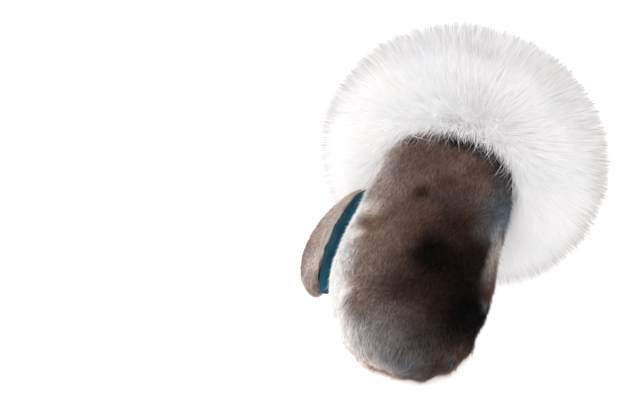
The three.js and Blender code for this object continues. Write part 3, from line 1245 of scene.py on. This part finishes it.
@dataclass
class Hand:
    """The hand: its hide, its fur and the suede palm."""

    frame: dict
    draw: np.random.Generator
    studio: Studio
    back_count: int = 62000
    under_count: int = 27000
    tried: int = 230000
    steps: int = 2
    under_from: float = 4 * MM

    # How deep along Y and how high along Z a mark is for each metre of its half height.
    mark_depth: float = 1.3
    mark_height: float = 1.1

    # The palm panel, with its gathers and creases.
    palm_voxel: float = 1.2 * MM
    palm_smoothing: int = 3
    gathers: float = 7.0
    gather_sharpness: int = 3
    gather_depth: float = 1.1 * MM
    gather_middle: float = 45 * MM
    gather_reach: Range = (55 * MM, 4 * MM)
    crease_depth: float = 0.6 * MM
    crease_wavelength: float = 30 * MM

    part: ShortFurPart = field(init=False)

    def build(self) -> None:
        """Makes the hide, its hairs and the palm panel."""
        nodes = self.frame["nodes"]
        line = MiddleLine(points_of(nodes["hand_fur"].data))
        seams = [Ground(nodes[name]) for name in ("palm_suede", "thumb_suede")]
        self.part = ShortFurPart(self.draw, "hand_hide", flank=1.0)
        self.part.skin(nodes["hand_fur"], seams, line)
        patches = self._patches()
        fur = ShortFur()
        self.part.hide.data.materials.append(fur.material(patches, hairs=False))
        carry(self.part.hide, Slot.SHORT_FUR, "hand_fur")
        hairs = self.part.hairs(self.tried)
        middle = line.centre(hairs.roots)[:, 2]
        upper = hairs.roots[:, 2] > middle - self.under_from
        finish = fur.material(patches, hairs=True)
        mesh = HairMesh(self.steps, self.draw)
        for name, side, count in (
            ("hand_fur_back", upper, self.back_count),
            ("hand_fur_under", ~upper, self.under_count),
        ):
            which = np.flatnonzero(side)
            LOG.info("%s: %d hairs of %d", name, min(count, len(which)), len(which))
            chosen = self.draw.permutation(which)[:count]
            made = mesh.build(name, hairs.chosen(chosen))
            made.data.materials.append(finish)
            carry(made, Slot.SHORT_FUR)
        self._palm(nodes["palm_suede"])

    def _patches(self) -> list[Patch]:
        """Lays the marks on the hide where their pixels look at it.

        Returns:
            The marks as patches on the fur.
        """
        patches = []
        for mark in MARKS:
            place, distance = self._seen(*self.studio.ray(mark.across, mark.down))
            size = self.studio.pixel_size(distance)
            deep, high = self.mark_depth * mark.tall * size, self.mark_height * mark.tall * size
            radii = (mark.wide * size, deep, high)
            patches.append(Patch(place, radii, mark.colour, mark.strength, mark.soft))
        return patches

    def _seen(self, start: Vector, way: Vector) -> tuple[Vector, float]:
        """Where a line of sight meets the hide.

        Args:
            start: where the line starts.
            way: its direction.

        Returns:
            That place, or the hide's nearest to a line that misses it, and how far off it is.
        """
        ground = self.part.ground
        place, _, _, distance = ground.tree.ray_cast(start, way)
        if place is None:
            apart = ground.points - np.array(start)
            along = apart @ np.array(way)
            nearest = np.linalg.norm(apart - along[:, None] * np.array(way), axis=1).argmin()
            place, distance = Vector(ground.points[nearest]), along[nearest]
        return place, distance

    def _palm(self, node: bpy.types.Object) -> None:
        """Makes the suede palm, drawn into gathers at its far end.

        Args:
            node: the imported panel.
        """
        palm = merged_copy("palm_panel", node)
        remade(palm, self.palm_voxel, self.palm_smoothing)
        points = points_of(palm.data)
        low, high = points.min(0), points.max(0)
        far = eased(points[:, 1], *(low[1] + reach for reach in self.gather_reach))
        aside = points[:, 0] - (low[0] + high[0]) / 2
        turn = np.arctan2(aside, low[1] + self.gather_middle - points[:, 1])
        folds = np.cos(turn * self.gathers) ** self.gather_sharpness * self.gather_depth * far
        creases = Waver(self.draw, self.crease_wavelength).at(points)[:, 2] * self.crease_depth
        points[:, 2] += folds + creases
        move_points(palm.data, points)
        palm.data.materials.append(Suede().material())
        carry(palm, Slot.SUEDE, "palm_suede")


@dataclass
class Thumb:
    """The thumb: fur on its outer side and suede on its inner side."""

    frame: dict
    draw: np.random.Generator
    fur: ShortFur = ShortFur(pale=tint(240, 226, 217), even=0.4)
    tried: int = 60000
    count: int = 17000
    steps: int = 2

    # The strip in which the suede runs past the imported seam, and how deep the hide lies under it.
    rim: float = 9.5 * MM
    rim_starts: Range = (-0.05, 0.2)
    rim_ends: Range = (0.95, 0.3)
    sink: float = 0.8 * MM

    # The suede side.
    suede_voxel: float = 0.9 * MM
    suede_smoothing: int = 3
    swell: float = 0.5 * MM
    kept_within: float = 1.5 * MM
    crease_depth: float = 0.5 * MM
    crease_wavelength: float = 22 * MM

    seam: Ground = field(init=False)

    def build(self) -> None:
        """Makes the hide, the hairs and the suede side."""
        nodes = self.frame["nodes"]
        self.seam = Ground(nodes["thumb_suede"])
        both = np.concatenate([points_of(nodes[name].data) for name in ("thumb_fur", "thumb_suede")])
        part = ShortFurPart(
            self.draw,
            "thumb_hide",
            voxel=2 * MM,
            end=18 * MM,
            hidden_from=6 * MM,
            edge_reach=27 * MM,
            pale_at_end=0.3,
            splay=-0.1,
            pile=5.5 * MM,
        )
        part.skin(nodes["thumb_fur"], [self.seam], MiddleLine(both))
        points = points_of(part.hide.data)
        sunk = self.sink * self._in_rim(points)
        move_points(part.hide.data, points - normals_of(part.hide.data) * sunk[:, None])
        part.hide.data.materials.append(self.fur.material([], hairs=False))
        carry(part.hide, Slot.SHORT_FUR, "thumb_fur")
        hairs = part.hairs(self.tried)
        hairs = hairs.chosen(~self._in_rim(hairs.roots))
        chosen = self.draw.permutation(len(hairs.roots))[: self.count]
        LOG.info("thumb hairs: %d of %d", len(chosen), len(hairs.roots))
        coat = HairMesh(self.steps, self.draw).build("thumb_fur_coat", hairs.chosen(chosen))
        coat.data.materials.append(self.fur.material([], hairs=True))
        carry(coat, Slot.SHORT_FUR)
        self._suede_side(nodes)

    def _in_rim(self, points: np.ndarray) -> np.ndarray:
        """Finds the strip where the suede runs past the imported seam, widest before the thumb's end.

        Args:
            points: places on the thumb.

        Returns:
            Whether each lies in the strip.
        """
        apart = np.linalg.norm(self.seam.nearest(points)[0] - points, axis=1)
        along = (points[:, 1] - self.seam.points[:, 1].min()) / np.ptp(self.seam.points[:, 1])
        return apart < self.rim * eased(along, *self.rim_ends) * eased(along, *self.rim_starts)

    def _suede_side(self, nodes: dict) -> None:
        """Makes the suede on the inner side, which runs on over the seam without a gap.

        Args:
            nodes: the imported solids.
        """
        suede = merged_copy("thumb_suede_side", nodes["thumb_suede"], nodes["thumb_fur"])
        move_points(suede.data, points_of(suede.data) + self.swell * normals_of(suede.data))
        remade(suede, self.suede_voxel, self.suede_smoothing)
        middles = np.array([face.center for face in suede.data.polygons])
        apart = np.linalg.norm(self.seam.nearest(middles)[0] - middles, axis=1)
        drop_faces(suede, (apart > self.kept_within) & ~self._in_rim(middles))
        points = points_of(suede.data)
        creases = Waver(self.draw, self.crease_wavelength).at(points) * self.crease_depth
        move_points(suede.data, points + creases)
        suede.data.materials.append(Suede().material())
        carry(suede, Slot.SUEDE, "thumb_suede")


@dataclass
class Cuff:
    """The cuff: a plain band of hide."""

    frame: dict

    def build(self) -> None:
        """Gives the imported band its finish."""
        band = self.frame["nodes"]["cuff_band"]
        band.data.materials.clear()
        band.data.materials.append(Hide().material())
        LOG.info("cuff_band: hide")


@dataclass(frozen=True)
class Wisps:
    """Loose hairs at the ruff's front edge that fall over the short fur."""

    count: int = 1100
    steps: int = 4
    turns: Range = (0.0, 0.12)
    past_sides: float = 0.4
    root_share: float = 0.65
    spread: float = 0.4
    curl: float = 0.9
    fall: tuple[float, float, float] = (0.0, -0.4, -0.3)
    lengths: Range = (14 * MM, 30 * MM)
    widths: Range = (0.2 * MM, 0.34 * MM)


@dataclass
class Ruff:
    """The ruff: thick underfur and long straight hairs that fan out from the band."""

    frame: dict
    draw: np.random.Generator
    hand: Ground
    wisps: Wisps = Wisps()
    count: int = 168000
    steps: int = 2

    # The thick underfur.
    voxel: float = 4 * MM
    smoothing: int = 24
    core_depth: float = 0.78
    core_length: float = 0.86

    # The fan of the hairs, from the band to the tips.
    root_share: float = 0.42
    power: float = 2.2
    foot: float = 0.8
    sag: float = 7 * MM
    short_of_solid: float = 3 * MM
    edge_turn: float = 0.03
    tries_for_each: int = 3
    probe: float = 0.004

    # How the hairs lie, how long they are and how wide.
    wanders: Sequence[Wander] = ((0.07, 70 * MM), (0.04, 16 * MM))
    unruly: float = 0.07
    bend: Wander = (0.08, 22 * MM)
    fall: tuple[float, float, float] = (0.0, 0.0, -0.1)
    lengths: Range = (0.82, 1.05)
    long_share: float = 0.5
    long_length: float = 1.08
    width: float = 0.36 * MM
    widths: Range = (0.6, 1.2)

    # Beige tips: on hairs of about full length, and fewer at the front.
    tipped_reach: Range = (0.92, 1.04)
    tipped_from: Range = (0.15, 0.38)
    least_tips: float = 0.3

    # Hairs that reach past the band lie so far over the hand's hide.
    lies_from: float = 4 * MM
    clear: float = 3.5 * MM

    # What build works out.
    front: float = field(init=False)
    back: float = field(init=False)
    pile: float = field(init=False)
    overhang: float = field(init=False)
    line: MiddleLine = field(init=False)

    def build(self) -> None:
        """Makes the underfur, the three pieces of long hairs and the wisps."""
        nodes = self.frame["nodes"]
        band = points_of(nodes["cuff_band"].data)
        hand = points_of(nodes["hand_fur"].data)
        self.front, self.back = band[:, 1].min(), band[:, 1].max()
        self.line = MiddleLine(np.concatenate([band, hand[hand[:, 1] < self.front]]))
        solid = points_of(nodes["cuff_ruff"].data)
        self.pile = float(self._off(solid).max())
        self.overhang = float(self.front - solid[:, 1].min()) - self.short_of_solid
        core = merged_copy("ruff_underfur", nodes["cuff_ruff"])
        remade(core, self.voxel, self.smoothing)
        move_points(core.data, self._drawn_in(points_of(core.data)))
        fur = LongFur()
        core.data.materials.append(fur.material(hairs=False))
        carry(core, Slot.LONG_FUR, "cuff_ruff")
        hairs = self._hairs()
        hairs = hairs.chosen(np.argsort(hairs.roots[:, 1], kind="stable"))
        finish = fur.material(hairs=True)
        mesh = HairMesh(self.steps, self.draw)
        thirds = np.array_split(np.arange(len(hairs.roots)), 3)
        for name, which in zip(("ruff_fur_front", "ruff_fur_crown", "ruff_fur_back"), thirds):
            made = mesh.build(name, hairs.chosen(which), self._clear)
            made.data.materials.append(finish)
            carry(made, Slot.LONG_FUR)
        wisps = HairMesh(self.wisps.steps, self.draw).build("ruff_wisps", self._wisps(), self._clear)
        wisps.data.materials.append(finish)
        carry(wisps, Slot.LONG_FUR)

    def _drawn_in(self, points: np.ndarray) -> np.ndarray:
        """Draws the ruff's surface in towards the band, where the underfur is thick.

        Args:
            points: the surface's vertices.

        Returns:
            Their new places.
        """
        middle = (self.front + self.back) / 2
        apart = (points - self.line.centre(points)) / np.insert(self.line.half(points), 1, 1.0, axis=1)
        reach = np.maximum(np.linalg.norm(apart[:, [0, 2]], axis=1), 1.0)
        places = points.copy()
        places[:, 1] = middle + (points[:, 1] - middle) * self.core_length
        share = (1 + (reach - 1) * self.core_depth) / reach
        sizes = np.insert(self.line.half(places), 1, 0.0, axis=1)
        return self.line.centre(places) + apart * sizes * share[:, None]

    def _off(self, points: np.ndarray) -> np.ndarray:
        """Measures how far points lie outside the band.

        Args:
            points: the points.

        Returns:
            The distances, in metres.
        """
        apart = (points - self.line.centre(points))[:, [0, 2]]
        half = self.line.half(points)
        reach = np.maximum(np.linalg.norm(apart / half, axis=1), LEAST_LENGTH)
        return np.linalg.norm(apart, axis=1) * (1 - 1 / reach)

    def _place(self, turn: np.ndarray, angle: np.ndarray, share: np.ndarray) -> np.ndarray:
        """A place in the fan of the fur.

        Args:
            turn: from 0 at the front to 1 at the back.
            angle: the angle round the cuff.
            share: 0 at the band and 1 at the tips.

        Returns:
            The places.
        """
        cosine, sine = np.cos(turn * np.pi), np.sin(turn * np.pi)
        ahead = np.sign(cosine) * np.abs(cosine) ** (2 / self.power)
        out = np.abs(sine) ** (2 / self.power)
        middle, half = (self.front + self.back) / 2, (self.back - self.front) / 2
        y = middle - ahead * (half * (self.foot + (1 - self.foot) * share) + self.overhang * share)
        probe = np.stack([np.zeros_like(y), y, np.zeros_like(y)], 1)
        centre, sizes = self.line.centre(probe), self.line.half(probe)
        off = out * self.pile * share
        x = centre[:, 0] + (sizes[:, 0] + off) * np.cos(angle)
        z = centre[:, 2] + (sizes[:, 1] + off) * np.sin(angle) - self.sag * share * out
        return np.stack([x, y, z], 1)

    def _spread(self, count: int) -> tuple[np.ndarray, np.ndarray]:
        """Draws turns and angles whose tips lie evenly over the fan.

        Args:
            count: how many hairs they are for.

        Returns:
            The hairs' turns and angles.
        """
        tries = self.tries_for_each * count
        turn = self.draw.uniform(self.edge_turn, 1 - self.edge_turn, tries)
        angle = self.draw.uniform(0, 2 * np.pi, tries)
        tips = np.ones_like(turn)
        here = self._place(turn, angle, tips)
        across = self._place(turn + self.probe, angle, tips) - here
        round_it = self._place(turn, angle + self.probe, tips) - here
        area = np.linalg.norm(np.cross(across, round_it), axis=1)
        chosen = self.draw.choice(len(turn), count, replace=False, p=area / area.sum())
        return turn[chosen], angle[chosen]

    def _hairs(self) -> Hairs:
        """Lays the long hairs, each on its way from the band to the fan's edge.

        Returns:
            The hairs.
        """
        turn, angle = self._spread(self.count)
        tip = self._place(turn, angle, np.ones_like(turn))
        foot = self._place(turn, angle, np.zeros_like(turn))
        root = foot + (tip - foot) * self.root_share
        way = tip - root
        reach = np.linalg.norm(way, axis=1)
        leads = wandered(unit(way), tip, self.draw, self.wanders)
        leads = unit(leads + self.unruly * self.draw.normal(size=leads.shape))
        strength, wavelength = self.bend
        turns = strength * Waver(self.draw, wavelength).at(tip) + np.array(self.fall)
        lengths = reach * self.draw.uniform(*self.lengths, len(root))
        long_ones = self.draw.random(len(root)) < self.long_share
        lengths[long_ones] *= self.long_length
        tipped = long_ones * eased(lengths / reach, *self.tipped_reach)
        tipped = tipped * (self.least_tips + (1 - self.least_tips) * eased(turn, *self.tipped_from))
        widths = self.width * self.draw.uniform(*self.widths, len(root))
        looks = unit(self.draw.normal(size=root.shape))
        return Hairs(root, leads, turns, looks, lengths, widths, tipped)

    def _wisps(self) -> Hairs:
        """Lays the wisps at the front edge of the ruff's upper half.

        Returns:
            The wisps.
        """
        wisps = self.wisps
        turn = self.draw.uniform(*wisps.turns, wisps.count)
        angle = self.draw.uniform(-wisps.past_sides, np.pi + wisps.past_sides, wisps.count)
        root = self._place(turn, angle, np.full(wisps.count, wisps.root_share))
        foot = self._place(turn, angle, np.zeros(wisps.count))
        leads = unit(unit(root - foot) + wisps.spread * self.draw.normal(size=root.shape))
        turns = wisps.curl * self.draw.normal(size=root.shape) + np.array(wisps.fall)
        lengths = self.draw.uniform(*wisps.lengths, wisps.count)
        widths = self.draw.uniform(*wisps.widths, wisps.count)
        looks = unit(self.draw.normal(size=root.shape))
        return Hairs(root, leads, turns, looks, lengths, widths, np.zeros(wisps.count))

    def _clear(self, lines: np.ndarray) -> np.ndarray:
        """Lays hairs that reach the hand on its fur.

        Args:
            lines: the middle lines of hairs.

        Returns:
            The lines, with those that reach the hand lying on its fur.
        """
        near = np.flatnonzero(lines[:, -1, 1] < self.front + self.lies_from)
        if len(near) == 0:
            return lines
        moved = lines.copy()
        moved[near, 1:] = self.hand.outside(lines[near, 1:], self.clear)
        return moved


def main() -> None:
    """Dresses the mitten from the hand to the ruff."""
    logging.basicConfig(level=logging.INFO, format="%(name)s %(message)s")
    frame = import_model()
    studio = Studio()
    studio.build()
    draw = np.random.default_rng(SEED)
    hand = Hand(frame, draw, studio)
    hand.build()
    Thumb(frame, draw).build()
    Cuff(frame).build()
    Ruff(frame, draw, hand.part.ground).build()


if __name__ == "__main__":
    main()
